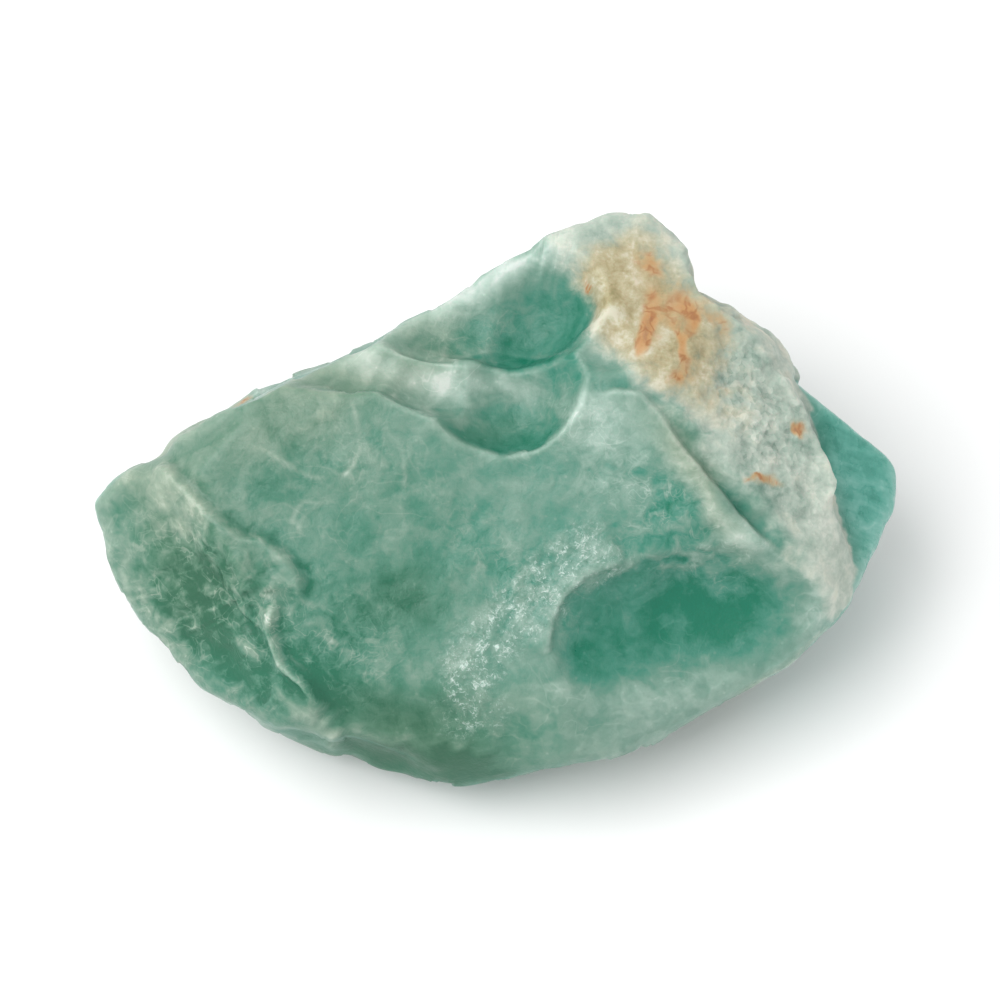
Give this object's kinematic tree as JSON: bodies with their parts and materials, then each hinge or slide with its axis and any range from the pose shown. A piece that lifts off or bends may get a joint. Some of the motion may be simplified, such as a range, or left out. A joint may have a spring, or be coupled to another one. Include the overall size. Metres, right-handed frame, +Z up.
{
  "type": "rough amazonite stone",
  "caption": "Fist-sized loose piece of rough amazonite, a broken blue-green block with scooped breaks and a pale rind, resting on a small flat spot.",
  "frame": {"origin": "on the resting surface, under the middle of the stone's bounding box", "axes": "+Z up from the resting spot, +X to the viewer's right along the stone's length, +Y away from the viewer; the broad broken face looks up and towards -Y"},
  "size_m": [0.1222, 0.0804, 0.0563],
  "materials": {
    "stone": "waxy to dull broken feldspar"
  },
  "bodies": {
    "root": {"amazonite_stone": "stone"}
  },
  "joints": []
}
